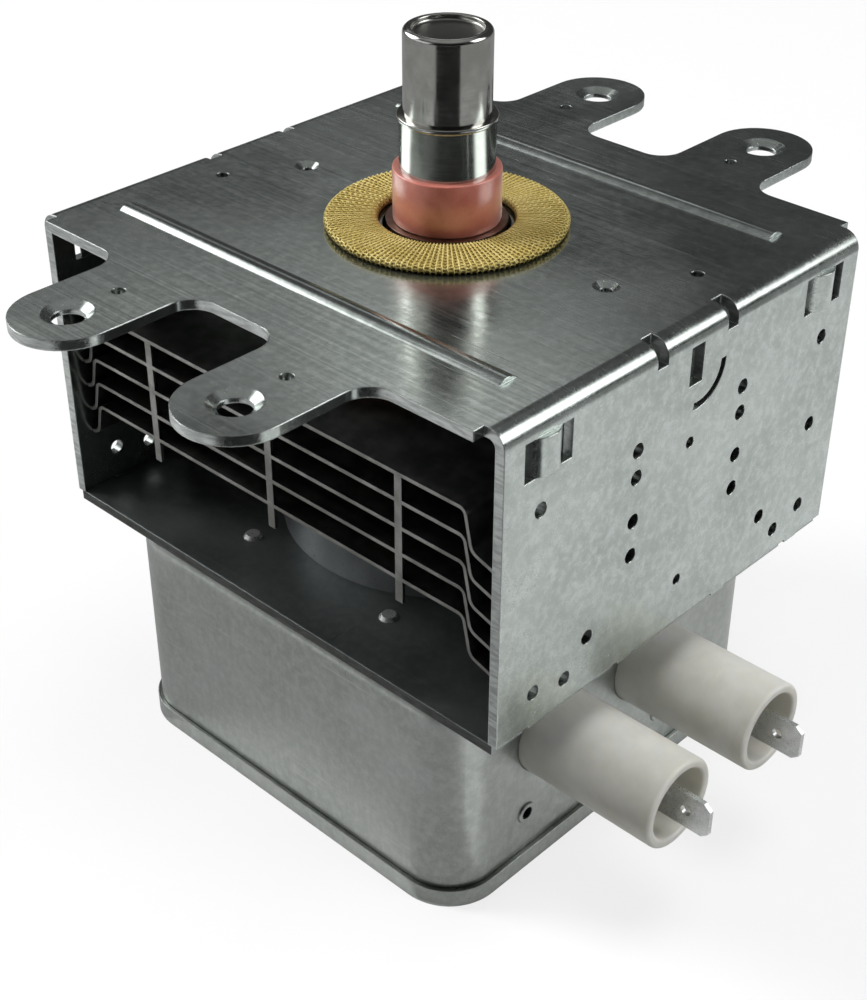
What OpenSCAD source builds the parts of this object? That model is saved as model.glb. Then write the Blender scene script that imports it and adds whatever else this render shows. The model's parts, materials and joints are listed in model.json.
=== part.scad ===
// Magnetron with a folded yoke, an antenna on top and a filter box below.
// Millimetres, +Z up. The origin lies on the antenna axis, at the underside of the top plate,
// where the screw heads of the four ears bear. The modules count heights from the upper face of that plate.

/* [Yoke] */
// Width across the two closed walls
yoke_w = 95; // [85:0.5:110]
// Depth of the walls, through the two open faces
wall_d = 80; // [76:0.5:95]
// Depth of the top plate between its front and rear edges
plate_d = 84; // [82:0.5:98]
// Width of the part of the top plate that runs past the walls
plate_tongue_w = 88; // [70:0.5:89]
// Height from the upper face of the top plate to the lower edges of the walls
yoke_h = 51; // [49:0.5:60]
// Thickness of the yoke sheet
sheet = 1.6; // [1.2:0.1:2]
// Outer radius of the folds between plate and walls
fold_r = 2.8; // [2.4:0.1:4]
// Centre distance of the relief cuts in a fold, from the middle
fold_relief_y = 8; // [5:0.5:12]
// Width of a relief cut
fold_relief_w = 2.4; // [1.5:0.1:3.5]
// Diameter of the hole in both plates round the tube
plate_hole_d = 19.6; // [19.2:0.1:20.5]

/* [Mounting ears] */
// Hole distance of the ears across the width
ear_pitch_x = 35; // [30:0.5:42]
// Hole distance of the ears through the depth
ear_pitch_y = 115; // [110:0.5:122]
// Width of an ear
ear_w = 16.6; // [14:0.2:18]
// Fillet radius at the root of an ear
ear_root_r = 4.2; // [2:0.2:5]
// Diameter of an ear hole
ear_hole_d = 4.8; // [4:0.1:5.5]
// Diameter of the conical sink round an ear hole
ear_sink_d = 7.6; // [6.5:0.1:9]
// Depth of that sink
ear_sink_h = 0.9; // [0.4:0.1:1.1]
// Diameter of the pilot hole in an ear
ear_pilot_d = 2; // [1.5:0.1:3]
// Distance of the pilot hole from the ear hole, towards the plate
ear_pilot_in = 8.8; // [8:0.1:10]

/* [Plate pressings] */
// Distance of a stiffening bead from the middle of the plate
bead_y = 30; // [28:0.5:34]
// Length of a bead
bead_l = 78; // [60:1:80]
// Height of a bead over the plate
bead_h = 0.7; // [0.4:0.1:1]
// Radius of the bead section
bead_r = 2.6; // [1.6:0.1:3]
// Distance of the small sunk holes from the antenna axis
plate_spot_x = 31; // [28:0.5:36]
// Diameter of the small sunk holes
plate_spot_d = 1.8; // [1.5:0.1:2.4]
// Diameter of the sink round them
plate_spot_sink_d = 4; // [3:0.1:4.5]
// Offset of the two corner tooling holes across the width
tool_hole_x = 38; // [34:0.5:40]
// Offset of the two corner tooling holes through the depth
tool_hole_y = 12; // [8:0.5:16]
// Diameter of the tooling holes
tool_hole_d = 2; // [1.5:0.1:3]

/* [Wall pressings] */
// Distance of a lanced bridge from the middle of the wall
lance_y = 31.4; // [29:0.1:33]
// Width of a lanced bridge
lance_w = 5; // [4:0.1:5.2]
// Width of the slot beside a bridge
lance_slot_w = 2.2; // [1.6:0.1:2.4]
// Depth of the upper end of the lanced bridges
lance_top = 3.2; // [3:0.1:4]
// Height of a lanced bridge
lance_h = 6; // [4:0.1:7]
// Outward rise of a bridge
lance_rise = 0.9; // [0.5:0.1:1.2]
// Width of the centre slot
key_slot_w = 3; // [2:0.1:4]
// Height of the centre slot
key_slot_h = 6.2; // [4:0.1:7]
// Radius of the crescent cut below the centre slot
crescent_r = 5.5; // [5:0.1:7]
// Width of the crescent cut
crescent_w = 1.2; // [0.8:0.1:1.6]
// Depth of the centre of the crescent
crescent_z = 7.7; // [7:0.1:9]
// Diameter of the small wall holes
wall_hole_d = 2.4; // [1.8:0.1:3]
// Distance of the upper outer wall holes from the middle
hole_upper_y = 32.6; // [28:0.2:36]
// Depth of the upper outer wall holes
hole_upper_z = 14.6; // [12:0.2:17]
// Distance of the hole columns from the middle
hole_column_y = 12.2; // [9:0.2:15]
// Depth of the first hole of a column
hole_column_z = 14.8; // [13:0.2:18]
// Diameter of the holes on the middle line of a wall
middle_hole_d = 1.8; // [1.2:0.1:2.4]
// Depth of the faint upper hole on the middle line
middle_upper_z = 18.9; // [17:0.1:20]
// Depth of the lower hole on the middle line
middle_lower_z = 43; // [40:0.2:45]
// Distance of the lower inner holes from the middle
hole_inner_y = 21.1; // [18:0.2:23]
// Depth of the lower inner holes
hole_inner_z = 42; // [40:0.2:45]
// Distance of the lower outer holes from the middle
hole_outer_y = 32.6; // [30:0.2:36]
// Depth of the lower outer holes
hole_outer_z = 45.3; // [43:0.2:46.5]
// Distance of the lower middle holes from the middle
hole_mid_y = 25.8; // [24.5:0.2:28]
// Depth of the lower middle holes
hole_mid_z = 46.8; // [44:0.2:47]
// Depth of the single hole near one edge of a wall
single_hole_z = 30; // [25:0.5:35]
// Distance of an outer tab of a wall from the middle
tab_outer_y = 31.6; // [27:0.2:34]
// Distance of an inner tab of a wall from the middle
tab_inner_y = 11.6; // [7:0.2:14]
// Inset of the lower plate from the outer faces of the walls
plate_in = 0.9; // [0.2:0.1:1.1]
// Width of a tab of a wall
tab_w = 3.2; // [2.4:0.2:6]
// Depth of a tab in its notch of the lower plate
tab_l = 0.5; // [0.3:0.1:1]
// Side clearance of a tab in its notch
tab_fit = 0.1; // [0.05:0.05:0.3]

/* [Antenna] */
// Diameter of the antenna cap
cap_d = 13.2; // [12:0.1:14]
// Height of the top of the cap
cap_top = 30.2; // [28:0.1:34]
// Wall thickness of the cap
cap_t = 0.5; // [0.3:0.1:0.8]
// Rounding of the upper edge of the cap
cap_edge_r = 0.8; // [0.4:0.1:1]
// Diameter of the dish in the top of the cap
cap_dish_d = 10.6; // [8:0.1:11]
// Depth of that dish
cap_dish_h = 0.9; // [0.4:0.1:1.5]
// Diameter of the metal sleeve below the cap
sleeve_d = 14.5; // [13.5:0.1:16]
// Height of the top of the sleeve
sleeve_top = 17.4; // [15:0.1:18]
// Wall thickness of the sleeve
sleeve_t = 0.6; // [0.4:0.1:1]
// Height of the lip round the top of the sleeve
lip_h = 0.7; // [0.4:0.1:1.2]
// Outward step of the lip
lip_out = 0.3; // [0.2:0.05:0.6]
// Diameter of the ceramic tubes
ceramic_d = 16.5; // [15.5:0.1:17]
// Bore of the ceramic window tube
ceramic_bore_d = 11; // [9:0.1:12]
// Height of the lower end of the ceramic window tube
ceramic_foot = 0.9; // [0.7:0.1:1.5]
// Height of the upper end of the ceramic window tube
ceramic_top = 9.2; // [7.5:0.1:11]
// Outer diameter of the mesh gasket
gasket_d = 37.5; // [34:0.5:42]
// Inner diameter of the mesh gasket
gasket_bore_d = 20.6; // [20:0.1:23]
// Height of the mesh gasket
gasket_h = 1.6; // [1:0.1:5]
// Diameter of the exhaust tube under the cap
exhaust_d = 8; // [6:0.1:9]
// Wall thickness of the exhaust tube
exhaust_t = 1; // [0.6:0.1:1.5]

/* [Tube] */
// Length of the anode cylinder
anode_h = 24.8; // [24:0.1:26]
// Outer diameter of the anode cylinder
anode_d = 40; // [38:0.1:42]
// Bore of the anode cylinder
anode_bore_d = 35; // [33:0.1:35.6]
// Diameter of the seats for the pole pieces
pole_d = 37; // [36.4:0.1:37.4]
// Thickness of a pole piece
pole_t = 1.6; // [1.2:0.1:2]
// Depth of the funnel of a pole piece
pole_depth = 6.1; // [5.4:0.1:6.4]
// Radius at which the funnel of a pole piece starts
pole_rim_r = 14.4; // [13.5:0.1:15.5]
// Radius of the flat nose of a pole piece
pole_nose_r = 11.6; // [10.8:0.1:12.4]
// Bore of a pole piece
pole_bore_d = 9.4; // [8.6:0.1:10]
// Number of vanes
vane_n = 10; // [8:2:12]
// Thickness of a vane
vane_t = 1.8; // [1.2:0.1:2]
// Height of a vane
vane_h = 9.5; // [8.5:0.1:9.8]
// Radius of the inner end of a vane
vane_tip_r = 4.5; // [4.3:0.05:4.6]
// Mean radius of the inner straps
strap_inner_r = 5.5; // [5.4:0.05:5.6]
// Mean radius of the outer straps
strap_outer_r = 6.9; // [6.8:0.05:7]
// Radial thickness of a strap
strap_t = 0.6; // [0.5:0.05:0.7]
// Height of a strap
strap_h = 1; // [0.8:0.1:1.1]
// Radius at which the antenna rod stands on a vane
antenna_root_r = 8.8; // [8.6:0.1:9]
// Diameter of the antenna rod
antenna_rod_d = 1.8; // [1.4:0.1:2]
// Diameter of the heater helix
filament_d = 4; // [3.4:0.1:4.4]
// Diameter of the heater wire
filament_wire_d = 0.6; // [0.5:0.05:0.7]
// Diameter of the heater end discs
end_hat_d = 7.2; // [6.4:0.1:7.6]
// Thickness of the heater end discs
end_hat_t = 1; // [0.8:0.1:1.1]
// Diameter of the heater supply rods
lead_d = 1.4; // [1:0.1:1.6]
// Distance of the stem pins from the axis
stem_pin_x = 4.5; // [4:0.1:5]
// Depth of the upper end of the stem ceramic under the lower plate
stem_drop = 2; // [1:0.5:3]
// Length of the stem ceramic
stem_h = 9; // [7:0.5:10]
// Length of a stem pin
stem_pin_l = 4; // [3:0.5:5]
// Width of a stem pin
stem_pin_w = 3; // [2.5:0.1:3.4]
// Thickness of a stem pin
stem_pin_t = 0.8; // [0.5:0.1:1]
// Height over which the supply rods run straight under the tube
lead_straight = 4; // [3:0.5:5]
// Height of the bend of the supply rods towards the pins
lead_bend = 5; // [4:0.5:6]
// Gap between a strap and the groove of a vane that it doesn't touch
strap_gap = 0.4; // [0.2:0.05:0.6]
// Step of a heater end disc past the end of the vanes
hat_step = 0.35; // [0.2:0.05:0.5]
// Outer diameter of the seal cups
seal_d = 18.6; // [18.2:0.1:18.7]
// Wall thickness of the seal cups
seal_t = 0.5; // [0.4:0.05:0.8]
// Diameter of the foot flange of a seal cup
seal_flange_d = 38; // [36:0.5:40]
// Outer diameter of the magnets
magnet_d = 54; // [48:0.5:56]
// Bore of the magnets
magnet_bore_d = 21; // [20.5:0.1:24]

/* [Fins] */
// Number of fins is five; distance between two of them
fin_pitch = 4.4; // [4:0.1:4.6]
// Height of the middle fin over the middle of the tube
fin_lift = 0.8; // [0:0.1:1]
// Thickness of a fin
fin_t = 0.6; // [0.4:0.05:0.8]
// Depth of a fin
fin_d = 74; // [70:0.5:76]
// Height of the folded ends that touch the walls
fin_end_h = 3.2; // [2:0.1:3.2]
// Distance of the outer spacer tabs from the middle
fin_tab_x = 27; // [24:0.5:32]
// Width of a spacer tab
fin_tab_w = 1.4; // [1:0.1:4]
// Height of the collar pressed onto the anode
fin_collar_h = 3; // [2:0.1:3.1]
// Wall thickness of that collar
fin_collar_t = 0.8; // [0.6:0.1:1.2]

/* [Filter box] */
// Width of the box lid
lid_w = 77.4; // [72:0.2:84]
// Depth of the box lid
lid_d = 78.4; // [72:0.2:84]
// Vertical corner radius of the box
box_corner_r = 8.6; // [7:0.1:14]
// Height from the underside of the lower plate to the underside of the lid
box_h = 40.6; // [38:0.2:48]
// Thickness of the box sheet
box_t = 0.8; // [0.6:0.1:1]
// Rounding of the upper edge of the box
box_edge_r = 4.2; // [1.6:0.1:5]
// Height of the lid rim
lid_rim_h = 2.6; // [2:0.1:5]
// Thickness of the lid sheet
lid_t = 0.7; // [0.5:0.1:1]
// Gap between lid rim and box
lid_fit = 0.05; // [0.05:0.05:0.2]
// Distance of the box rivets from the axis, across the width
box_rivet_x = 15.6; // [13:0.1:20]
// Distance of the box rivets from the axis, through the depth
box_rivet_y = 29; // [28.8:0.1:32]
// Shank diameter of the box rivets
box_rivet_d = 2; // [1.6:0.1:2.4]
// Head diameter of the box rivets
box_head_d = 3.2; // [2.8:0.1:4]
// Height of a head of the box rivets
box_head_h = 0.6; // [0.4:0.1:1]

/* [Connector] */
// Middle of the two tubes, through the depth
tube_mid_y = -4.5; // [-6:0.1:0]
// Distance between the two tubes
tube_pitch = 23.4; // [20:0.2:25]
// Depth of the tube axes under the lower edges of the walls
tube_drop = 16.7; // [15.5:0.1:20]
// Outer diameter of a tube
tube_d = 15; // [13:0.1:16]
// Bore of a tube
tube_bore_d = 11.8; // [9:0.1:12]
// Length of a tube outside the box
tube_out = 24.8; // [18:0.2:30]
// Gap between a tube and the holes it passes
tube_fit = 0.1; // [0.05:0.05:0.3]
// Height of a blade contact
blade_w = 6.3; // [4.8:0.1:6.3]
// Thickness of a blade contact
blade_t = 0.8; // [0.5:0.1:1]
// Length of a blade past the end of its tube
blade_out = 5.6; // [0:0.1:8]
// Width of the capacitor flange
flange_w = 41; // [38:0.5:46]
// Height of the capacitor flange
flange_h = 27; // [26:0.5:28]
// Thickness of the capacitor flange
flange_t = 0.8; // [0.6:0.1:1.2]
// Hole distance of the flange rivets through the depth
flange_rivet_y = 33.8; // [32:0.2:36]
// Hole distance of the flange rivets in height
flange_rivet_z = 22.8; // [21:0.2:23]
// Shank diameter of the flange rivets
flange_rivet_d = 3; // [2.6:0.1:3.4]
// Head diameter of the flange rivets
flange_head_d = 3.8; // [3.6:0.1:4]
// Bore of the flange rivets
flange_rivet_bore = 2.2; // [1:0.1:2.4]
// Height of the flat heads of the flange rivets
flange_head_h = 0.35; // [0.2:0.05:0.6]
// Thickness of the capacitor block
block_t = 14; // [10:0.5:16]
// Width of the capacitor block
block_w = 29.6; // [27:0.2:30]
// Height of the capacitor block
block_h = 17; // [15.5:0.5:18]
// Diameter of a ferrite core
core_d = 5.4; // [4:0.1:6]
// Length of a ferrite core
core_l = 38; // [34:0.5:40]
// Diameter of the choke wire
choke_wire_d = 1.4; // [1:0.1:1.6]
// Number of turns of a choke
choke_turns = 20; // [14:1:20]
// Depth of the choke axes under the tube axes
choke_drop = 11.3; // [10.4:0.1:13]
// Offset of the middle of the chokes, away from the contacts
choke_back = 6; // [4:0.5:8]
// Depth of the middle of the capacitor flange under the tube axes
flange_drop = 3; // [2.6:0.1:3.4]
// Length of a blade behind the capacitor block
blade_tail = 5; // [3:0.5:6]
// Length of the chamfer at the tip of a blade
blade_tip_l = 1.2; // [0.6:0.1:1.8]
// Depth of that chamfer
blade_tip_in = 1; // [0.4:0.1:1.4]
// Distance of the latch hole from the tip of a blade
latch_in = 4.2; // [3.5:0.1:5]
// Diameter of the latch hole
latch_d = 1.7; // [1.4:0.1:2]

/* [Hidden] */
$fn = 64;
tiny = 0.01;
big = 200;
half_w = yoke_w / 2;
floor_top = -yoke_h;
floor_bottom = -yoke_h - sheet;
stack_mid = (floor_top - sheet) / 2;
anode_top = stack_mid + anode_h / 2;
anode_foot = stack_mid - anode_h / 2;
magnet_h = (floor_top * -1 - sheet - anode_h) / 2 - seal_t;
seal_r = seal_d / 2;
seal_in = seal_r - seal_t;
vane_top = stack_mid + vane_h / 2;
strap_deep = strap_h + strap_gap;
hat_top = vane_top + hat_step;
hat_foot = stack_mid - vane_h / 2 - hat_step;
stem_top = floor_bottom - stem_drop;
stem_foot = stem_top - stem_h;
pin_foot = stem_foot - stem_pin_l;
jog_a = anode_foot - lead_straight;
jog_b = jog_a - lead_bend;
box_w = lid_w - 2 * (lid_t + lid_fit);
box_d = lid_d - 2 * (lid_t + lid_fit);
lid_floor = floor_bottom - box_h + lid_t;
face_x = box_w / 2;
inner_x = face_x - box_t;
block_face = inner_x - flange_t;
block_back = block_face - block_t;
tube_z = yoke_h + tube_drop;
choke_z = tube_z + choke_drop;
flange_z = -(tube_z + flange_drop);
tube_y1 = tube_mid_y - tube_pitch / 2;
tube_y2 = tube_mid_y + tube_pitch / 2;
blade_tip = face_x + tube_out + blade_out;
blade_back = block_back - blade_tail;
coil_pitch = choke_wire_d * 0.94;
coil_r = core_d / 2 + choke_wire_d / 2 - 0.05;
coil_l = coil_pitch * (choke_turns - 1) + choke_wire_d;
coil_x = -choke_back;
coil_near = coil_x + coil_l / 2;
coil_far = coil_x - coil_l / 2;
lead_level = stem_foot - stem_pin_l * 0.6;
lance_r = (lance_w * lance_w / 4 + lance_rise * lance_rise) / (2 * lance_rise);
STEEL = [0.58, 0.61, 0.6];
PLATE = [0.33, 0.35, 0.33];
BRASS = [0.66, 0.58, 0.33];
CERAMIC = [0.72, 0.48, 0.42];
FERRITE = [0.13, 0.13, 0.14];
ALUMINIUM = [0.7, 0.71, 0.72];
COPPER = [0.72, 0.45, 0.3];
IVORY = [0.84, 0.84, 0.8];
TIN = [0.78, 0.79, 0.78];

// From heights over the upper face of the top plate to heights over its underside
module lift() {
    translate([0, 0, sheet])
        children();
}

// A rectangle with round corners, centred on the axis
module round_rect(w, d, r) {
    square([w - 2 * r, d], center = true);
    square([w, d - 2 * r], center = true);
    for (sx = [-1, 1], sy = [-1, 1])
        translate([sx * (w / 2 - r), sy * (d / 2 - r)])
            circle(r);
}

// A straight rod between two points
module rod(a, b, d) {
    v = b - a;
    l = norm(v);
    translate(a)
        rotate([0, acos(v[2] / l), atan2(v[1], v[0])])
            cylinder(d = d, h = l, $fn = 24);
}

// A rod that bends round its middle points, with a slight knuckle at each bend
module bent_rod(points, d) {
    for (i = [0 : len(points) - 2])
        rod(points[i], points[i + 1], d);
    for (i = [1 : len(points) - 2])
        translate(points[i])
            sphere(d = d * 1.1, $fn = 24);
}

// A hole through a wall, at a place (y, z), on both walls
module wall_holes(y, z, d) {
    translate([0, y, z])
        rotate([0, 90, 0])
            cylinder(d = d, h = big, center = true, $fn = 24);
}

// Section of the folded sheet: plate, two folds and two walls
module fold_section(inset) {
    w = yoke_w - 2 * inset;
    r = fold_r - inset;
    translate([-w / 2, -yoke_h - inset])
        square([w, yoke_h - r]);
    translate([-w / 2 + r, -r - inset])
        square([w - 2 * r, r]);
    for (s = [-1, 1])
        translate([s * (w / 2 - r), -r - inset])
            circle(r);
}

// Outline of one ear with filleted roots, reaching out from the plate edge
module ear_outline() {
    edge = plate_d / 2;
    tip = ear_pitch_y / 2;
    translate([-ear_w / 2, edge - 2])
        square([ear_w, tip - edge + 2]);
    translate([0, tip])
        circle(d = ear_w);
    for (s = [-1, 1])
        difference() {
            translate([s * (ear_w / 2 + ear_root_r / 2), edge + ear_root_r / 2 - 0.5])
                square([ear_root_r, ear_root_r + 1], center = true);
            translate([s * (ear_w / 2 + ear_root_r), edge + ear_root_r])
                circle(ear_root_r);
        }
}

// One bridge lanced out of a wall, on the +X side
module lance_bridge(y) {
    translate([half_w + lance_rise - lance_r, y, -lance_top - lance_h])
        difference() {
            cylinder(r = lance_r, h = lance_h);
            translate([0, 0, -1])
                cylinder(r = lance_r - sheet, h = lance_h + 2);
            translate([-big, -big / 2, -1])
                cube([big + lance_r - lance_rise - sheet * 0.8, big, lance_h + 2]);
        }
}

module upper_yoke() {
    hole_steps = [0, 4.4, 11.7, 17.6];
    color(PLATE)
    difference() {
        union() {
            rotate([90, 0, 0])
                linear_extrude(wall_d, center = true)
                    difference() {
                        fold_section(0);
                        fold_section(sheet);
                    }
            translate([0, 0, -sheet])
                linear_extrude(sheet) {
                    square([plate_tongue_w, plate_d], center = true);
                    for (sx = [-1, 1], sy = [0, 1])
                        mirror([0, sy, 0])
                            translate([sx * ear_pitch_x / 2, 0])
                                ear_outline();
                }
            for (s = [-1, 1])
                translate([0, s * bead_y, bead_h - bead_r])
                    rotate([0, 90, 0])
                        intersection() {
                            cylinder(r = bead_r, h = bead_l, center = true);
                            translate([-bead_r, 0, 0])
                                cube([2 * bead_r + 1.4, 3 * bead_r, 2 * bead_l], center = true);
                        }
        }
        // Groove on the underside of each bead
        for (s = [-1, 1])
            translate([0, s * bead_y, bead_h - bead_r - sheet])
                rotate([0, 90, 0])
                    cylinder(r = bead_r, h = bead_l - 2, center = true);
        // Hole round the tube
        translate([0, 0, -sheet - 1])
            cylinder(d = plate_hole_d, h = sheet + 2);
        // Ear holes with their sinks, and pilot holes
        for (sx = [-1, 1], sy = [-1, 1]) {
            translate([sx * ear_pitch_x / 2, sy * ear_pitch_y / 2, -sheet - 1])
                cylinder(d = ear_hole_d, h = sheet + 2);
            translate([sx * ear_pitch_x / 2, sy * ear_pitch_y / 2, -ear_sink_h])
                cylinder(d1 = ear_hole_d, d2 = ear_sink_d, h = ear_sink_h + tiny);
            translate([sx * ear_pitch_x / 2, sy * (ear_pitch_y / 2 - ear_pilot_in), -sheet - 1])
                cylinder(d = ear_pilot_d, h = sheet + 2, $fn = 24);
        }
        // Small sunk holes beside the gasket and two tooling holes
        for (s = [-1, 1]) {
            translate([s * plate_spot_x, 0, -sheet - 1])
                cylinder(d = plate_spot_d, h = sheet + 2, $fn = 24);
            translate([s * plate_spot_x, 0, -sheet / 2])
                cylinder(d1 = plate_spot_d, d2 = plate_spot_sink_d, h = sheet / 2 + tiny, $fn = 32);
            translate([s * tool_hole_x, s * tool_hole_y, -sheet - 1])
                cylinder(d = tool_hole_d, h = sheet + 2, $fn = 24);
        }
        // Relief cuts in the folds
        for (s = [-1, 1])
            translate([0, s * fold_relief_y, 0])
                difference() {
                    cube([big, fold_relief_w, 2 * fold_r + 1.6], center = true);
                    cube([yoke_w - 2 * fold_r - 1, big, big], center = true);
                }
        // Slots beside the lanced bridges
        for (s = [-1, 1], t = [-1, 1])
            translate([0, s * lance_y + t * (lance_w + lance_slot_w) / 2, -lance_top - lance_h / 2])
                cube([big, lance_slot_w, lance_h], center = true);
        // Room behind the bridges
        for (s = [-1, 1])
            translate([0, s * lance_y, -lance_top - lance_h / 2])
                cube([big, lance_w, lance_h - tiny], center = true);
        // Centre slot and crescent
        translate([0, 0, -lance_top - key_slot_h / 2])
            cube([big, key_slot_w, key_slot_h], center = true);
        translate([-big / 2, 1, -crescent_z])
            rotate([0, 90, 0])
                rotate([0, 0, -10])
                    rotate_extrude(angle = 100)
                        translate([crescent_r - crescent_w / 2, 0])
                            square([crescent_w, big]);
        // Small round holes
        for (s = [-1, 1]) {
            wall_holes(s * hole_upper_y, -hole_upper_z, wall_hole_d);
            wall_holes(s * hole_inner_y, -hole_inner_z, wall_hole_d);
            wall_holes(s * hole_outer_y, -hole_outer_z, wall_hole_d);
            wall_holes(s * hole_mid_y, -hole_mid_z, wall_hole_d);
            for (step = hole_steps)
                wall_holes(s * hole_column_y, -hole_column_z - step, wall_hole_d);
        }
        wall_holes(0, -middle_upper_z, middle_hole_d);
        wall_holes(0, -middle_lower_z, middle_hole_d);
        wall_holes(hole_upper_y, -single_hole_z, wall_hole_d);
    }
    color(PLATE)
    for (m = [0, 1], s = [-1, 1])
        mirror([m, 0, 0])
            lance_bridge(s * lance_y);
    // Short tabs at the lower edges of the walls
    color(PLATE)
    for (sx = [-1, 1], sy = [-1, 1], y = [tab_inner_y, tab_outer_y])
        translate([sx * (half_w - sheet / 2), sy * y, floor_top])
            cube([sheet, tab_w, 2 * tab_l], center = true);
}

module lower_yoke_plate() {
    color(PLATE)
    translate([0, 0, floor_bottom])
        difference() {
            linear_extrude(sheet)
                square([yoke_w - 2 * plate_in, wall_d], center = true);
            for (sx = [-1, 1], sy = [-1, 1], y = [tab_inner_y, tab_outer_y])
                translate([sx * half_w, sy * y, 0])
                    cube([2 * (sheet + tab_fit), tab_w + 2 * tab_fit, big], center = true);
            translate([0, 0, -1])
                cylinder(d = plate_hole_d, h = sheet + 2);
            for (sx = [-1, 1], sy = [-1, 1])
                translate([sx * box_rivet_x, sy * box_rivet_y, -1])
                    cylinder(d = box_rivet_d, h = sheet + 2, $fn = 32);
        }
}

module rf_gasket() {
    w = (gasket_d - gasket_bore_d) / 2;
    color(BRASS)
    rotate_extrude($fn = 96) {
        translate([gasket_bore_d / 2 + gasket_h / 2, 0])
            square([w - gasket_h, gasket_h]);
        translate([gasket_bore_d / 2 + gasket_h / 2, gasket_h / 2])
            circle(gasket_h / 2);
        translate([gasket_d / 2 - gasket_h / 2, gasket_h / 2])
            circle(gasket_h / 2);
    }
}

module antenna_cap() {
    r = cap_d / 2;
    color(TIN)
    rotate_extrude() {
        difference() {
            union() {
                translate([0, sleeve_top])
                    square([r, cap_top - cap_edge_r - sleeve_top]);
                translate([0, cap_top - cap_edge_r])
                    square([r - cap_edge_r, cap_edge_r]);
                translate([r - cap_edge_r, cap_top - cap_edge_r])
                    circle(cap_edge_r, $fn = 32);
            }
            translate([-1, sleeve_top - 1])
                square([r - cap_t + 1, cap_top - sleeve_top - cap_dish_h - cap_t + 1]);
            translate([-1, cap_top - cap_dish_h])
                square([cap_dish_d / 2 + 1, cap_dish_h + 1]);
            translate([-r, 0])
                square([r, big]);
        }
    }
}

module antenna_sleeve() {
    r = sleeve_d / 2;
    color(TIN)
    rotate_extrude()
        polygon([[r - sleeve_t, ceramic_top], [r, ceramic_top], [r, sleeve_top - lip_h],
            [r + lip_out, sleeve_top - lip_h], [r + lip_out, sleeve_top], [exhaust_d / 2, sleeve_top],
            [exhaust_d / 2, sleeve_top - sleeve_t], [r - sleeve_t, sleeve_top - sleeve_t]]);
}

module output_ceramic() {
    color(CERAMIC)
    translate([0, 0, ceramic_foot])
        difference() {
            cylinder(d = ceramic_d, h = ceramic_top - ceramic_foot);
            translate([0, 0, -1])
                cylinder(d = ceramic_bore_d, h = ceramic_top - ceramic_foot + 2);
        }
}

module exhaust_tube() {
    foot = sleeve_top - 3;
    neck = sleeve_top + 4.6;
    head = cap_top - cap_dish_h - cap_t - 1;
    flat = exhaust_t * 0.8;
    lean = atan((exhaust_d / 2 - flat) / (head - neck - 1));
    color(COPPER)
    difference() {
        translate([0, 0, foot])
            cylinder(d = exhaust_d, h = head - foot);
        translate([0, 0, foot - 1])
            cylinder(d = exhaust_d - 2 * exhaust_t, h = neck - foot + 1);
        for (s = [0, 180])
            rotate([0, 0, s])
                translate([-big / 2, exhaust_d / 2, neck])
                    rotate([lean, 0, 0])
                        cube([big, big / 2, big / 2]);
    }
}

module antenna_lead() {
    top = sleeve_top + 4.6;
    color(COPPER)
    bent_rod([[antenna_root_r, 0, vane_top], [antenna_root_r, 0, anode_top - 3.4],
        [0, 0, anode_top + 7.4], [0, 0, top]], antenna_rod_d);
}

// A thin cup with a foot flange; height of its end over the flange seat
module seal_cup(end) {
    rotate_extrude()
        polygon([[seal_in, 0], [seal_flange_d / 2, 0], [seal_flange_d / 2, seal_t], [seal_r, seal_t],
            [seal_r, end], [ceramic_bore_d / 2 + 0.8, end], [ceramic_bore_d / 2 + 0.8, end - seal_t],
            [seal_in, end - seal_t]]);
}

module upper_seal_cup() {
    color(TIN)
    translate([0, 0, anode_top])
        seal_cup(ceramic_foot - anode_top);
}

module lower_seal_cup() {
    color(TIN)
    translate([0, 0, anode_foot])
        mirror([0, 0, 1])
            seal_cup(anode_foot - stem_top);
}

module magnet() {
    difference() {
        cylinder(d = magnet_d, h = magnet_h);
        translate([0, 0, -1])
            cylinder(d = magnet_bore_d, h = magnet_h + 2);
    }
}

module upper_magnet() {
    color(FERRITE)
    translate([0, 0, -sheet - magnet_h])
        magnet();
}

module lower_magnet() {
    color(FERRITE)
    translate([0, 0, floor_top])
        magnet();
}

// One fin, counted from the top: sheet, collar, folded ends and spacer tabs
module cooling_fin(i) {
    w = yoke_w - 2 * sheet;
    top = stack_mid + fin_lift + (3 - i) * fin_pitch + fin_t / 2;
    drop = fin_pitch - fin_t;
    color(ALUMINIUM)
    translate([0, 0, top - fin_t])
        difference() {
            union() {
                translate([-w / 2, -fin_d / 2, 0])
                    cube([w, fin_d, fin_t]);
                translate([0, 0, fin_t - fin_collar_h])
                    cylinder(r = anode_d / 2 + fin_collar_t, h = fin_collar_h);
                for (s = [-1, 1])
                    translate([s * (w - fin_t) / 2, 0, fin_t - fin_end_h / 2])
                        cube([fin_t, fin_d, fin_end_h], center = true);
                for (sx = [-1, 0, 1], sy = [-1, 1])
                    translate([sx * fin_tab_x, sy * (fin_d - fin_t) / 2, fin_t - (drop + fin_t) / 2])
                        cube([fin_tab_w, fin_t, i == 5 ? fin_end_h : drop + fin_t], center = true);
            }
            translate([0, 0, -big / 2])
                cylinder(d = anode_d, h = big);
        }
}

module cooling_fin_1() {
    cooling_fin(1);
}

module cooling_fin_2() {
    cooling_fin(2);
}

module cooling_fin_3() {
    cooling_fin(3);
}

module cooling_fin_4() {
    cooling_fin(4);
}

module cooling_fin_5() {
    cooling_fin(5);
}

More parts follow.
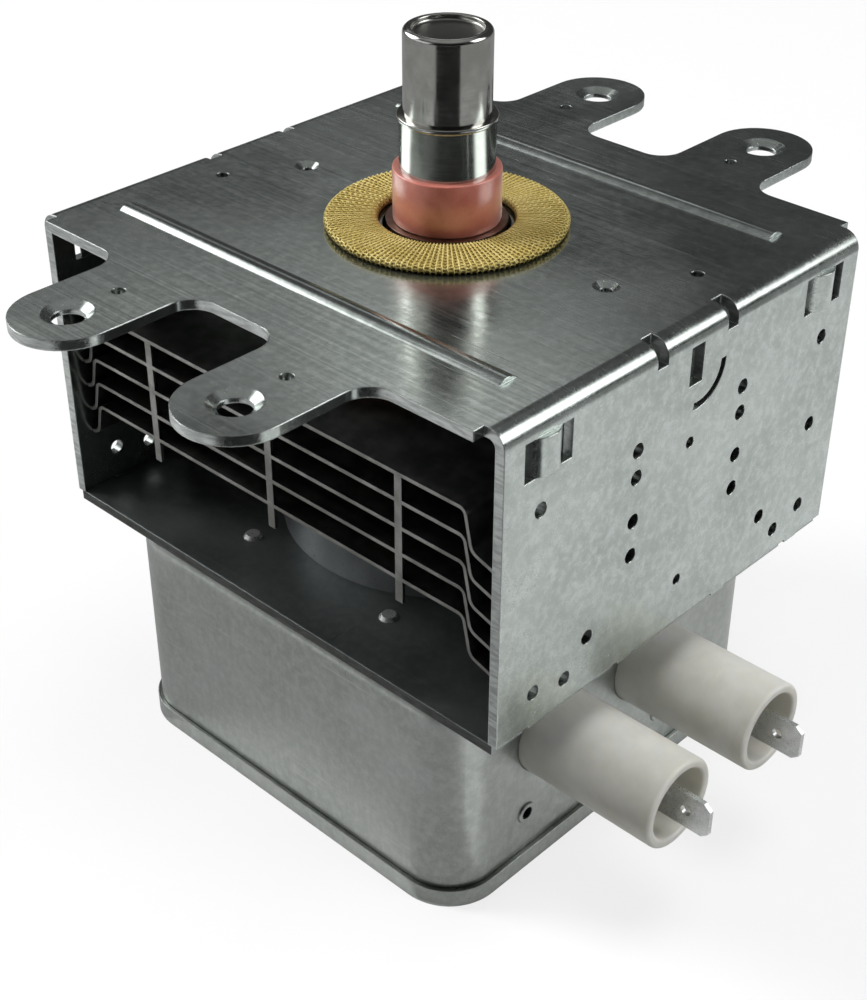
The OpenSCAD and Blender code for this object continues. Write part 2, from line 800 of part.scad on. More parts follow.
module anode_cylinder() {
    color(COPPER)
    translate([0, 0, anode_foot])
        difference() {
            cylinder(d = anode_d, h = anode_h);
            translate([0, 0, -1])
                cylinder(d = anode_bore_d, h = anode_h + 2);
            translate([0, 0, anode_h - pole_t])
                cylinder(d = pole_d, h = pole_t + 1);
            translate([0, 0, -1])
                cylinder(d = pole_d, h = pole_t + 1);
        }
}

// A ring groove in the upper and lower edges of a vane
module strap_groove(r, depth) {
    gap = strap_t + 0.5;
    for (s = [-1, 1])
        translate([0, 0, stack_mid + s * vane_h / 2])
            difference() {
                cylinder(r = r + gap / 2, h = 2 * depth, center = true);
                cylinder(r = r - gap / 2, h = 3 * depth, center = true);
            }
}

module anode_vanes() {
    color(COPPER)
    for (i = [0 : vane_n - 1])
        rotate([0, 0, i * 360 / vane_n])
            difference() {
                intersection() {
                    translate([vane_tip_r, -vane_t / 2, stack_mid - vane_h / 2])
                        cube([anode_bore_d, vane_t, vane_h]);
                    translate([0, 0, anode_foot])
                        cylinder(d = anode_bore_d, h = anode_h);
                }
                strap_groove(strap_inner_r, i % 2 == 0 ? strap_h : strap_deep);
                strap_groove(strap_outer_r, i % 2 == 0 ? strap_deep : strap_h);
            }
}

module strap_rings() {
    color(COPPER)
    for (r = [strap_inner_r, strap_outer_r], z = [vane_top - strap_h, stack_mid - vane_h / 2])
        translate([0, 0, z])
            difference() {
                cylinder(r = r + strap_t / 2, h = strap_h);
                translate([0, 0, -1])
                    cylinder(r = r - strap_t / 2, h = strap_h + 2);
            }
}

// Funnel with a flat rim; it points down from the seat plane
module pole_piece() {
    r = pole_d / 2;
    b = pole_bore_d / 2;
    rim = pole_rim_r - pole_t / 2;
    nose = pole_nose_r - pole_t / 2;
    rotate_extrude()
        polygon([[r, 0], [rim, 0], [nose, pole_t - pole_depth], [b, pole_t - pole_depth], [b, -pole_depth],
            [pole_nose_r, -pole_depth], [pole_rim_r, -pole_t], [r, -pole_t]]);
}

module upper_pole_piece() {
    color(STEEL)
    translate([0, 0, anode_top])
        difference() {
            pole_piece();
            translate([antenna_root_r, 0, -pole_depth - 1])
                cylinder(d = antenna_rod_d + 1.6, h = pole_t + 2, $fn = 32);
        }
}

module lower_pole_piece() {
    color(STEEL)
    translate([0, 0, anode_foot])
        mirror([0, 0, 1])
            pole_piece();
}

module cathode_filament() {
    top = hat_top - end_hat_t;
    foot = hat_foot + end_hat_t;
    n = floor((top - foot) / (filament_wire_d * 0.9));
    step = (top - foot - filament_wire_d) / (n - 1);
    color(STEEL)
    rotate_extrude() {
        for (i = [0 : n - 1])
            translate([(filament_d - filament_wire_d) / 2, foot + filament_wire_d / 2 + i * step])
                circle(d = filament_wire_d, $fn = 16);
    }
}

module upper_end_hat() {
    color(STEEL)
    translate([0, 0, hat_top - end_hat_t])
        cylinder(d = end_hat_d, h = end_hat_t);
}

module lower_end_hat() {
    color(STEEL)
    translate([0, 0, hat_foot])
        difference() {
            cylinder(d = end_hat_d, h = end_hat_t);
            translate([0, 0, -1])
                cylinder(d = lead_d + 1, h = end_hat_t + 2);
        }
}

module centre_lead() {
    color(STEEL)
    bent_rod([[0, 0, hat_top - end_hat_t], [0, 0, jog_a], [-stem_pin_x, 0, jog_b],
        [-stem_pin_x, 0, stem_foot]], lead_d);
}

module side_lead() {
    root = end_hat_d / 2 - lead_d / 2 - 0.2;
    color(STEEL)
    bent_rod([[root, 0, hat_foot], [root, 0, jog_a], [stem_pin_x, 0, jog_b],
        [stem_pin_x, 0, stem_foot]], lead_d);
}

module stem_ceramic() {
    color(CERAMIC)
    translate([0, 0, stem_foot])
        difference() {
            cylinder(d = ceramic_d, h = stem_top - stem_foot);
            for (s = [-1, 1])
                translate([s * stem_pin_x, 0, -1])
                    cylinder(d = lead_d, h = stem_top - stem_foot + 2, $fn = 24);
        }
}

module stem_terminals() {
    color(TIN)
    for (s = [-1, 1])
        translate([s * stem_pin_x - stem_pin_w / 2, -stem_pin_t / 2, pin_foot])
            cube([stem_pin_w, stem_pin_t, stem_pin_l]);
}

// Upright section of the box with rounded upper corners
module box_section(w, foot, top, e) {
    translate([-w / 2, foot])
        square([w, top - e - foot]);
    translate([-w / 2 + e, foot])
        square([w - 2 * e, top - foot]);
    for (s = [-1, 1])
        translate([s * (w / 2 - e), top - e])
            circle(e, $fn = 32);
}

// Drawn box, open below, with round corners and a rounded upper edge
module box_shell(inset) {
    w = box_w - 2 * inset;
    d = box_d - 2 * inset;
    r = box_corner_r - inset;
    e = box_edge_r - inset;
    top = floor_bottom - inset;
    foot = lid_floor - 2 * inset;
    rotate([90, 0, 0])
        linear_extrude(d - 2 * r, center = true)
            box_section(w, foot, top, e);
    rotate([90, 0, 90])
        linear_extrude(w - 2 * r, center = true)
            box_section(d, foot, top, e);
    for (sx = [-1, 1], sy = [-1, 1])
        translate([sx * (w / 2 - r), sy * (d / 2 - r), 0])
            rotate_extrude()
                intersection() {
                    box_section(2 * r, foot, top, e);
                    translate([0, -big])
                        square([big, 2 * big]);
                }
}

module filter_box() {
    color(STEEL)
    difference() {
        box_shell(0);
        box_shell(box_t);
        translate([0, 0, floor_bottom - big / 2])
            cylinder(d = plate_hole_d + 3, h = big);
        for (sx = [-1, 1], sy = [-1, 1])
            translate([sx * box_rivet_x, sy * box_rivet_y, floor_bottom - 5])
                cylinder(d = box_rivet_d, h = 10, $fn = 32);
        for (y = [tube_y1, tube_y2])
            translate([inner_x - 2, y, -tube_z])
                rotate([0, 90, 0])
                    cylinder(d = tube_d + 2 * tube_fit, h = 10);
        for (sy = [-1, 1], sz = [-1, 1])
            translate([inner_x - 2, tube_mid_y + sy * flange_rivet_y / 2, flange_z + sz * flange_rivet_z / 2])
                rotate([0, 90, 0])
                    cylinder(d = flange_rivet_d, h = 10, $fn = 32);
    }
}

module filter_box_lid() {
    color(STEEL)
    translate([0, 0, lid_floor - lid_t])
        difference() {
            linear_extrude(lid_t + lid_rim_h)
                round_rect(lid_w, lid_d, box_corner_r + lid_t + lid_fit);
            translate([0, 0, lid_t])
                linear_extrude(lid_rim_h + 1)
                    round_rect(lid_w - 2 * lid_t, lid_d - 2 * lid_t, box_corner_r + lid_fit);
        }
}

module box_rivets() {
    color(TIN)
    for (sx = [-1, 1], sy = [-1, 1])
        translate([sx * box_rivet_x, sy * box_rivet_y, 0]) {
            translate([0, 0, floor_bottom - box_t])
                cylinder(d = box_rivet_d, h = sheet + box_t, $fn = 32);
            translate([0, 0, floor_top])
                cylinder(d1 = box_head_d, d2 = box_head_d - 0.9, h = box_head_h, $fn = 32);
            translate([0, 0, floor_bottom - box_t - box_head_h])
                cylinder(d = box_head_d, h = box_head_h, $fn = 32);
        }
}

// Winding of one choke, with its two end wires
module choke_coil(y, pin_x, pin_side) {
    color(COPPER) {
        translate([coil_far + choke_wire_d / 2, y, -choke_z])
            rotate([0, 90, 0])
                rotate_extrude()
                    for (i = [0 : choke_turns - 1])
                        translate([coil_r + 0.05, i * coil_pitch])
                            circle(d = choke_wire_d, $fn = 20);
        bent_rod([[coil_far + choke_wire_d / 2, y, -choke_z + coil_r], [coil_far + choke_wire_d / 2, y, lead_level],
            [pin_x, pin_side * (stem_pin_t + choke_wire_d) / 2, lead_level]], choke_wire_d);
        bent_rod([[coil_near - choke_wire_d / 2, y, -choke_z + coil_r], [coil_near - choke_wire_d / 2, y, -tube_z],
            [blade_back, y, -tube_z]], choke_wire_d);
    }
}

module choke_coil_1() {
    choke_coil(tube_y1, -stem_pin_x, -1);
}

module choke_coil_2() {
    choke_coil(tube_y2, stem_pin_x, 1);
}

module ferrite_core(y) {
    color(FERRITE)
    translate([coil_x, y, -choke_z])
        rotate([0, 90, 0])
            cylinder(d = core_d, h = core_l, center = true);
}

module ferrite_core_1() {
    ferrite_core(tube_y1);
}

module ferrite_core_2() {
    ferrite_core(tube_y2);
}

module capacitor_block() {
    color(IVORY)
    difference() {
        translate([block_back, tube_mid_y - block_w / 2, -tube_z - block_h / 2])
            cube([block_t, block_w, block_h]);
        for (y = [tube_y1, tube_y2])
            translate([block_back - 1, y - blade_t / 2, -tube_z - blade_w / 2])
                cube([block_t + 2, blade_t, blade_w]);
    }
}

module capacitor_flange() {
    color(TIN)
    difference() {
        translate([block_face, tube_mid_y - flange_w / 2, flange_z - flange_h / 2])
            cube([flange_t, flange_w, flange_h]);
        for (y = [tube_y1, tube_y2])
            translate([block_face - 1, y, -tube_z])
                rotate([0, 90, 0])
                    cylinder(d = tube_d + 2 * tube_fit, h = 10);
        for (sy = [-1, 1], sz = [-1, 1])
            translate([block_face - 1, tube_mid_y + sy * flange_rivet_y / 2, flange_z + sz * flange_rivet_z / 2])
                rotate([0, 90, 0])
                    cylinder(d = flange_rivet_d, h = 10, $fn = 32);
    }
}

module flange_rivets() {
    l = box_t + flange_t;
    color(TIN)
    for (sy = [-1, 1], sz = [-1, 1])
        translate([block_face, tube_mid_y + sy * flange_rivet_y / 2, flange_z + sz * flange_rivet_z / 2])
            rotate([0, 90, 0])
                difference() {
                    union() {
                        cylinder(d = flange_rivet_d, h = l, $fn = 32);
                        translate([0, 0, l])
                            cylinder(d1 = flange_head_d, d2 = flange_head_d - 0.4, h = flange_head_h, $fn = 32);
                        translate([0, 0, -flange_head_h])
                            cylinder(d = flange_head_d, h = flange_head_h, $fn = 32);
                    }
                    translate([0, 0, -2 * flange_head_h])
                        cylinder(d = flange_rivet_bore, h = l + 4 * flange_head_h, $fn = 24);
                }
}

module insulating_tube(y) {
    l = face_x + tube_out - block_face;
    color(IVORY)
    translate([block_face, y, -tube_z])
        rotate([0, 90, 0])
            difference() {
                cylinder(d = tube_d, h = l);
                translate([0, 0, -1])
                    cylinder(d = tube_bore_d, h = l + 2);
            }
}

module insulating_tube_1() {
    insulating_tube(tube_y1);
}

module insulating_tube_2() {
    insulating_tube(tube_y2);
}

// Blade contact with a chamfered tip and a latch hole
module blade_terminal(y) {
    color(TIN)
    translate([0, y, -tube_z])
        rotate([90, 0, 0])
            linear_extrude(blade_t, center = true)
                difference() {
                    polygon([[blade_back, -blade_w / 2], [blade_tip - blade_tip_l, -blade_w / 2],
                        [blade_tip, -blade_w / 2 + blade_tip_in], [blade_tip, blade_w / 2 - blade_tip_in],
                        [blade_tip - blade_tip_l, blade_w / 2], [blade_back, blade_w / 2]]);
                    translate([blade_tip - latch_in, 0])
                        circle(d = latch_d, $fn = 24);
                }
}

module blade_terminal_1() {
    blade_terminal(tube_y1);
}

module blade_terminal_2() {
    blade_terminal(tube_y2);
}

lift() upper_yoke();
lift() lower_yoke_plate();
lift() rf_gasket();
lift() antenna_cap();
lift() antenna_sleeve();
lift() output_ceramic();
lift() exhaust_tube();
lift() antenna_lead();
lift() upper_seal_cup();
lift() lower_seal_cup();
lift() upper_magnet();
lift() lower_magnet();
lift() cooling_fin_1();
lift() cooling_fin_2();
lift() cooling_fin_3();
lift() cooling_fin_4();
lift() cooling_fin_5();
lift() anode_cylinder();
lift() anode_vanes();
lift() strap_rings();
lift() upper_pole_piece();
lift() lower_pole_piece();
lift() cathode_filament();
lift() upper_end_hat();
lift() lower_end_hat();
lift() centre_lead();
lift() side_lead();
lift() stem_ceramic();
lift() stem_terminals();
lift() filter_box();
lift() filter_box_lid();
lift() box_rivets();
lift() choke_coil_1();
lift() choke_coil_2();
lift() ferrite_core_1();
lift() ferrite_core_2();
lift() capacitor_block();
lift() capacitor_flange();
lift() flange_rivets();
lift() insulating_tube_1();
lift() insulating_tube_2();
lift() blade_terminal_1();
lift() blade_terminal_2();
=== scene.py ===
import json
import math

import bmesh
import bpy
from mathutils import Matrix, Vector


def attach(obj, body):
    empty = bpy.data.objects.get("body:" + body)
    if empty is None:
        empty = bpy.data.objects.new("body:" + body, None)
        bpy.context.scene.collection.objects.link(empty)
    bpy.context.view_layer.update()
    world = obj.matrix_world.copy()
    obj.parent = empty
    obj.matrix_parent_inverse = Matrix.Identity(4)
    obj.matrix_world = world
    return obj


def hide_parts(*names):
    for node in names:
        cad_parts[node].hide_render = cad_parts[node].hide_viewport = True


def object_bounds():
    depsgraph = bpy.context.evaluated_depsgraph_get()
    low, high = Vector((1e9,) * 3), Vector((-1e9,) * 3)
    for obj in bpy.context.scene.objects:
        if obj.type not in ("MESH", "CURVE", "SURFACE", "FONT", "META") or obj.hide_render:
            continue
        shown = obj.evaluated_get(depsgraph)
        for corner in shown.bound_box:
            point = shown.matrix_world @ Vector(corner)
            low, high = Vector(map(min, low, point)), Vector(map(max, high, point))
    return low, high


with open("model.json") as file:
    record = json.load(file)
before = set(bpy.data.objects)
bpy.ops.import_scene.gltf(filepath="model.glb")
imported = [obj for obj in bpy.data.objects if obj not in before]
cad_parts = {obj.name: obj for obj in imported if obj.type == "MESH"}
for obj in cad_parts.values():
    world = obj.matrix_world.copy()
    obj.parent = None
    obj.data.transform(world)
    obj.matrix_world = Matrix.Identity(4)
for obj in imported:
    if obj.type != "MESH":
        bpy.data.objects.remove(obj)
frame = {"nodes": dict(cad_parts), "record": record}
cad_low, cad_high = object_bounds()
nodes = frame["nodes"]
scene = bpy.context.scene
scene.view_settings.view_transform = "Standard"

MM = 0.001
LIFT = 1.6          # height of the plate's upper face over the origin, mm
FRONT = -46.4       # direction of the camera seen from above, degrees


# Camera at the photograph's place

CAMERA_ANGLES = (43.594, 33.763, 0.122)         # azimuth, height and roll in degrees
CAMERA_PLACE = (165.89, -177.06, 111.45 + LIFT)     # mm
CAMERA_LENS = 62.638                            # mm, on a sensor of the width below
CAMERA_SENSOR = 36


def photo_camera():
    azimuth, height, roll = (math.radians(a) for a in CAMERA_ANGLES)
    level = math.cos(height)
    back = Vector((math.sin(azimuth) * level, -math.cos(azimuth) * level, math.sin(height)))
    side = Vector((math.cos(azimuth), math.sin(azimuth), 0))
    up = back.cross(side)
    right = math.cos(roll) * side + math.sin(roll) * up
    top = -math.sin(roll) * side + math.cos(roll) * up
    data = bpy.data.cameras.new("camera")
    data.sensor_width = CAMERA_SENSOR
    data.lens = CAMERA_LENS
    data.clip_start, data.clip_end = 0.01, 50
    cam = bpy.data.objects.new("camera", data)
    scene.collection.objects.link(cam)
    turn = Matrix((right, top, back)).transposed().to_4x4()
    cam.matrix_world = Matrix.Translation(Vector(CAMERA_PLACE) * MM) @ turn
    scene.camera = cam


photo_camera()


# Materials

class Graph:
    """Short ways to join shader nodes."""

    def __init__(self, owner):
        owner.use_nodes = True
        self.tree = owner.node_tree
        self.tree.nodes.clear()

    def new(self, kind):
        return self.tree.nodes.new("ShaderNode" + kind)

    def link(self, a, b):
        self.tree.links.new(a, b)

    def put(self, socket, value):
        if isinstance(value, bpy.types.NodeSocket):
            self.link(value, socket)
        else:
            socket.default_value = value

    def math(self, kind, a, b=0.5, clamp=False):
        node = self.new("Math")
        node.operation = kind
        node.use_clamp = clamp
        self.put(node.inputs[0], a)
        self.put(node.inputs[1], b)
        return node.outputs[0]

    def span(self, value, low, high, to_low=0.0, to_high=1.0):
        node = self.new("MapRange")
        node.interpolation_type = "SMOOTHSTEP"
        names = ("Value", "From Min", "From Max", "To Min", "To Max")
        for socket, v in zip(names, (value, low, high, to_low, to_high)):
            self.put(node.inputs[socket], v)
        return node.outputs[0]

    def split(self, vector):
        node = self.new("SeparateXYZ")
        self.link(vector, node.inputs[0])
        return node.outputs


class Look(Graph):
    """A principled material with procedural detail, in object millimetres."""

    def __init__(self, name, color, rough, metal=0.0, **sockets):
        self.material = bpy.data.materials.new(name)
        super().__init__(self.material)
        self.shader = self.new("BsdfPrincipled")
        self.link(self.shader.outputs[0], self.new("OutputMaterial").inputs[0])
        self.set("Base Color", (*color, 1))
        self.set("Roughness", rough)
        self.set("Metallic", metal)
        for socket, value in sockets.items():
            self.set(socket.replace("_", " "), value)
        self.where = self.new("TexCoord").outputs["Object"]
        self.shape = self.new("NewGeometry").outputs["True Normal"]
        self.round = None
        self.normal = None

    def set(self, socket, value):
        self.put(self.shader.inputs[socket], value)

    def place(self, size, turn=(0, 0, 0)):
        """Coordinates in which one unit is size millimetres along each axis."""
        node = self.new("Mapping")
        node.inputs["Rotation"].default_value = turn
        size = (size,) * 3 if isinstance(size, (int, float)) else size
        node.inputs["Scale"].default_value = [1000 / s for s in size]
        self.link(self.where, node.inputs["Vector"])
        return node.outputs[0]

    def noise(self, size, detail=3.0, rough=0.55, turn=(0, 0, 0), twist=0.0):
        node = self.new("TexNoise")
        node.inputs["Scale"].default_value = 1
        node.inputs["Detail"].default_value = detail
        node.inputs["Roughness"].default_value = rough
        node.inputs["Distortion"].default_value = twist
        self.link(self.place(size, turn), node.inputs["Vector"])
        return node.outputs["Fac"]

    def mix(self, amount, a, b):
        node = self.new("Mix")
        node.data_type = "RGBA"
        self.put(node.inputs[0], amount)
        for socket, v in ((node.inputs[6], a), (node.inputs[7], b)):
            self.put(socket, v if isinstance(v, bpy.types.NodeSocket) else (*v, 1))
        return node.outputs[2]

    def soften(self, radius):
        """Edges shaded as if rounded off by radius millimetres."""
        node = self.new("Bevel")
        node.samples = 4
        node.inputs["Radius"].default_value = radius * MM
        self.round = node.outputs[0]
        self.normal = self.round
        self.set("Normal", self.normal)

    def edges(self):
        """1 along the softened edges, 0 on flat faces."""
        node = self.new("VectorMath")
        node.operation = "DOT_PRODUCT"
        self.link(self.round, node.inputs[0])
        self.link(self.shape, node.inputs[1])
        return self.span(node.outputs["Value"], 0.995, 0.86)

    def facing(self, axis):
        """How far the surface faces along an axis, either way."""
        return self.math("ABSOLUTE", self.split(self.shape)[axis])

    def corners(self, distance):
        """1 in the open, towards 0 in corners and gaps."""
        node = self.new("AmbientOcclusion")
        node.samples = 4
        node.inputs["Distance"].default_value = distance * MM
        return node.outputs["AO"]

    def bump(self, height, strength, depth):
        node = self.new("Bump")
        node.inputs["Strength"].default_value = strength
        node.inputs["Distance"].default_value = depth * MM
        self.link(height, node.inputs["Height"])
        if self.normal is not None:
            self.link(self.normal, node.inputs["Normal"])
        self.normal = node.outputs[0]
        self.set("Normal", self.normal)


def sheet_metal(name, dark, light, bright, rough, grain, wave, sheared_and_painted_rim=None, edge=0.5, metal=1.0):
    """Plated sheet: blotches, rolling grain, fine scratches, edges lightened as wear and painted highlight,
    painted shade in corners, and rims facing along Y in a given tone, partly sheared metal and partly painted
    light.
    """
    look = Look(name, light, 0.3, metal)
    look.soften(0.3)
    blotch = look.noise(22, 4, 0.6, twist=0.6)
    speck = look.noise(1.6, 3, 0.7)
    roll = look.noise(grain, 2, 0.5)
    scratch = look.span(look.noise((26, 0.28, 0.28), 1, 0.4, turn=(0.3, 0.2, 0.9)), 0.68, 0.76)
    tone = look.mix(look.span(blotch, 0.3, 0.7), dark, light)
    tone = look.mix(look.span(speck, 0.35, 0.75, 0, 0.35), tone, bright)
    tone = look.mix(look.math("MULTIPLY", scratch, 0.35), tone, bright)
    gloss = look.span(blotch, 0.3, 0.75, *rough)
    gloss = look.math("ADD", gloss, look.span(roll, 0.3, 0.7, -0.03, 0.05))
    gloss = look.math("ADD", gloss, look.math("MULTIPLY", scratch, 0.04), True)
    # Rims facing along Y take the given rim tone: partly sheared bare metal, partly painted light (a light
    # tone paints a highlight, a dark tone paints shade).
    if sheared_and_painted_rim is not None:
        rims_facing_y = look.span(look.facing(1), 0.6, 0.9)
        tear = look.noise((3, 3, 0.5), 3, 0.6)
        rim_tone = look.mix(look.span(tear, 0.35, 0.65), [c * 0.6 for c in sheared_and_painted_rim], sheared_and_painted_rim)
        tone = look.mix(rims_facing_y, tone, rim_tone)
        gloss = look.math("ADD", gloss, look.math("MULTIPLY", rims_facing_y, 0.15), True)
    # Edges lightened towards the bright tone: partly wear, partly painted highlight.
    tone = look.mix(look.math("MULTIPLY", look.edges(), edge), tone, bright)
    # Painted shade: darker in corners and gaps, from the occlusion node.
    tone = look.mix(look.span(look.corners(3), 0.25, 0.9, 0.55, 0.0), tone, [c * 0.35 for c in dark])
    look.set("Base Color", tone)
    look.set("Roughness", gloss)
    look.bump(look.noise(26, 2, 0.5), wave, 1.0)
    look.bump(roll, 0.05, 0.05)
    look.bump(speck, 0.04, 0.04)
    return look.material


def fin_metal():
    look = Look("rolled_aluminium", (0.4, 0.41, 0.42), 0.32, 1.0)
    look.soften(0.15)
    roll = look.noise((40, 0.5, 0.5), 3, 0.6)
    dust = look.noise(5, 4, 0.6)
    tone = look.mix(look.span(dust, 0.35, 0.7), (0.15, 0.15, 0.14), (0.27, 0.27, 0.26))
    # Edges lightened: partly wear, partly painted highlight.
    tone = look.mix(look.math("MULTIPLY", look.edges(), 0.3), tone, (0.4, 0.4, 0.39))
    look.set("Base Color", tone)
    look.set("Roughness", look.span(roll, 0.3, 0.7, 0.28, 0.45))
    look.bump(roll, 0.08, 0.05)
    return look.material


def antenna_metal():
    look = Look("bright_nickel", (0.62, 0.62, 0.59), 0.12, 1.0)
    turn = look.noise((6, 6, 0.25), 2, 0.5)
    smear = look.noise(4, 4, 0.6)
    tone = look.mix(look.span(smear, 0.35, 0.7), (0.54, 0.54, 0.51), (0.66, 0.66, 0.63))
    # Painted shade: darker in corners and gaps, from the occlusion node.
    tone = look.mix(look.span(look.corners(1.5), 0.3, 0.9, 0.5, 0.0), tone, (0.12, 0.11, 0.1))
    # Painted shade: the dish in the cap's top darkened nearly to black, and made rougher.
    x, y, z = look.split(look.where)
    square = look.math("ADD", look.math("MULTIPLY", x, x), look.math("MULTIPLY", y, y))
    inside = look.span(look.math("SQRT", square), 4.9 * MM, 5.4 * MM, 1, 0)
    dish_painted_shade = look.math("MULTIPLY", inside, look.span(z, 29 * MM, 30.5 * MM))
    tone = look.mix(look.math("MULTIPLY", dish_painted_shade, 0.85), tone, (0.07, 0.068, 0.06))
    look.set("Base Color", tone)
    gloss = look.math("ADD", look.span(smear, 0.35, 0.75, 0.09, 0.16), look.span(turn, 0.3, 0.7, 0.0, 0.05))
    look.set("Roughness", look.math("ADD", gloss, look.math("MULTIPLY", dish_painted_shade, 0.3)))
    look.bump(turn, 0.05, 0.03)
    return look.material


def ceramic():
    look = Look("pink_alumina", (0.5, 0.12, 0.075), 0.35, Specular_IOR_Level=0.8,
                Coat_Weight=1.0, Coat_Roughness=0.25, Coat_IOR=1.7,
                Sheen_Weight=1.0, Sheen_Roughness=0.35, Sheen_Tint=(1.0, 0.76, 0.68, 1.0))
    cloud = look.noise(3.5, 4, 0.6)
    grain = look.noise(0.35, 3, 0.7)
    tone = look.mix(look.span(cloud, 0.3, 0.7), (0.52, 0.135, 0.095), (0.64, 0.2, 0.15))
    tone = look.mix(look.span(grain, 0.55, 0.8, 0, 0.4), tone, (0.62, 0.3, 0.23))
    # Painted shade: darker in corners and where other parts come close.
    tone = look.mix(look.span(look.corners(4), 0.3, 0.9, 0.6, 0.0), tone, (0.16, 0.05, 0.03))
    look.set("Base Color", tone)
    look.set("Roughness", look.span(grain, 0.3, 0.7, 0.28, 0.45))
    look.bump(grain, 0.12, 0.04)
    return look.material


def brass_wire():
    look = Look("brass_wire", (0.7, 0.6, 0.3), 0.5, 0.25)
    patch = look.noise(3.2, 3, 0.6)
    draw = look.noise(0.3, 2, 0.6)
    tone = look.mix(look.span(patch, 0.3, 0.7), (0.56, 0.44, 0.13), (0.7, 0.58, 0.22))
    tone = look.mix(look.span(draw, 0.5, 0.8, 0, 0.4), tone, (0.8, 0.7, 0.34))
    # Painted shade: darker between the wires and over the core, from the occlusion node.
    tone = look.mix(look.span(look.corners(0.6), 0.15, 0.7, 0.55, 0.0), tone, (0.34, 0.25, 0.07))
    look.set("Base Color", tone)
    look.set("Roughness", look.span(draw, 0.3, 0.7, 0.32, 0.5))
    look.bump(draw, 0.1, 0.03)
    return look.material


def ivory_plastic():
    look = Look("ivory_plastic", (0.78, 0.77, 0.71), 0.42, Specular_IOR_Level=0.45, Subsurface_Weight=0.4,
                Subsurface_Scale=1.0, Subsurface_Radius=(0.003, 0.0027, 0.002))
    cloud = look.noise(7, 3, 0.55)
    orange = look.noise(0.5, 2, 0.6)
    grime = look.noise((3, 9, 9), 4, 0.6)
    tone = look.mix(look.span(cloud, 0.3, 0.7), (0.72, 0.71, 0.645), (0.83, 0.82, 0.765))
    tone = look.mix(look.span(grime, 0.55, 0.8, 0, 0.25), tone, (0.6, 0.57, 0.47))
    # Painted shade: darker in the bore and where other parts come close, from the occlusion node.
    tone = look.mix(look.span(look.corners(4), 0.2, 0.85, 0.15, 0.0), tone, (0.5, 0.46, 0.35))
    look.set("Base Color", tone)
    look.set("Roughness", look.span(orange, 0.3, 0.7, 0.38, 0.52))
    look.bump(orange, 0.1, 0.04)
    return look.material


def dark_ferrite():
    look = Look("sintered_ferrite", (0.1, 0.1, 0.105), 0.4, Specular_IOR_Level=0.9)
    pores = look.noise(0.6, 4, 0.7)
    cloud = look.noise(6, 3, 0.6)
    tone = look.mix(look.span(cloud, 0.3, 0.7), (0.16, 0.172, 0.18), (0.22, 0.237, 0.245))
    look.set("Base Color", tone)
    look.set("Roughness", look.span(pores, 0.3, 0.7, 0.26, 0.42))
    look.bump(pores, 0.15, 0.05)
    return look.material


def plain_metal(name, dark, light, rough, size=3.0, metal=1.0):
    look = Look(name, light, 0.3, metal)
    look.soften(0.12)
    cloud = look.noise(size, 4, 0.6)
    fine = look.noise(size / 8, 3, 0.6)
    tone = look.mix(look.span(cloud, 0.3, 0.7), dark, light)
    worn = [min(1, c * 1.35) for c in light]
    tone = look.mix(look.math("MULTIPLY", look.edges(), 0.5), tone, worn)
    look.set("Base Color", tone)
    look.set("Roughness", look.span(fine, 0.3, 0.7, *rough))
    look.bump(fine, 0.08, 0.04)
    return look.material


SLOTS = {
    "yoke_steel": sheet_metal(
        "zinc_plated_sheet", (0.35, 0.39, 0.365), (0.445, 0.49, 0.465), (0.74, 0.78, 0.76),
        rough=(0.16, 0.25), grain=(60, 0.35, 0.35), wave=0.04,
        # Yoke: light rim tone as painted highlight on its rims; edges lightened strongly, partly wear and
        # partly painted highlight.
        sheared_and_painted_rim=(0.46, 0.49, 0.475), edge=0.7, metal=0.965),
    "plate_steel": sheet_metal(
        "dull_plate", (0.29, 0.32, 0.315), (0.39, 0.425, 0.42), (0.5, 0.53, 0.52),
        rough=(0.3, 0.42), grain=(0.5, 40, 0.5), wave=0.05,
        # Lower plate: near-black rim tone as painted shade on its front and back rims.
        sheared_and_painted_rim=(0.09, 0.095, 0.09), edge=0.1, metal=0.95),
    "box_steel": sheet_metal(
        "drawn_box_sheet", (0.3, 0.32, 0.3), (0.38, 0.4, 0.385), (0.55, 0.57, 0.55),
        rough=(0.3, 0.42), grain=(0.4, 0.4, 24), wave=0.09, edge=0.3),
    "brass_mesh": brass_wire(),
    "antenna_metal": antenna_metal(),
    "pink_ceramic": ceramic(),
    "ferrite": dark_ferrite(),
    "fin_aluminium": fin_metal(),
    "copper": plain_metal("bare_copper", (0.52, 0.24, 0.13), (0.78, 0.44, 0.29), (0.22, 0.4)),
    "iron": plain_metal("plated_iron", (0.3, 0.3, 0.31), (0.46, 0.46, 0.47), (0.3, 0.45)),
    "heater_metal": plain_metal("dull_tungsten", (0.22, 0.22, 0.23), (0.38, 0.38, 0.39), (0.35, 0.5),
                                size=1.2),
    "seal_metal": plain_metal("seal_alloy", (0.2, 0.115, 0.085), (0.36, 0.235, 0.18), (0.3, 0.45)),
    "tinned_steel": plain_metal("tin_plate", (0.46, 0.47, 0.46), (0.62, 0.63, 0.62), (0.24, 0.4),
                                size=2.0, metal=0.8),
    "white_plastic": ivory_plastic(),
}

slot_of = {}
for part in frame["record"]["subparts"]:
    slot_of[part["node"]] = part["material_slot"]
    mesh = nodes[part["node"]].data
    mesh.materials.clear()
    mesh.materials.append(SLOTS[part["material_slot"]])


# Pieces with their rounded edges and wires

def piece(name, mesh, node):
    """Hand a mesh in as the visible form of a CAD node."""
    obj = bpy.data.objects.new(name, mesh)
    scene.collection.objects.link(obj)
    mesh.materials.append(SLOTS[slot_of[node]])
    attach(obj, "root")
    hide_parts(node)


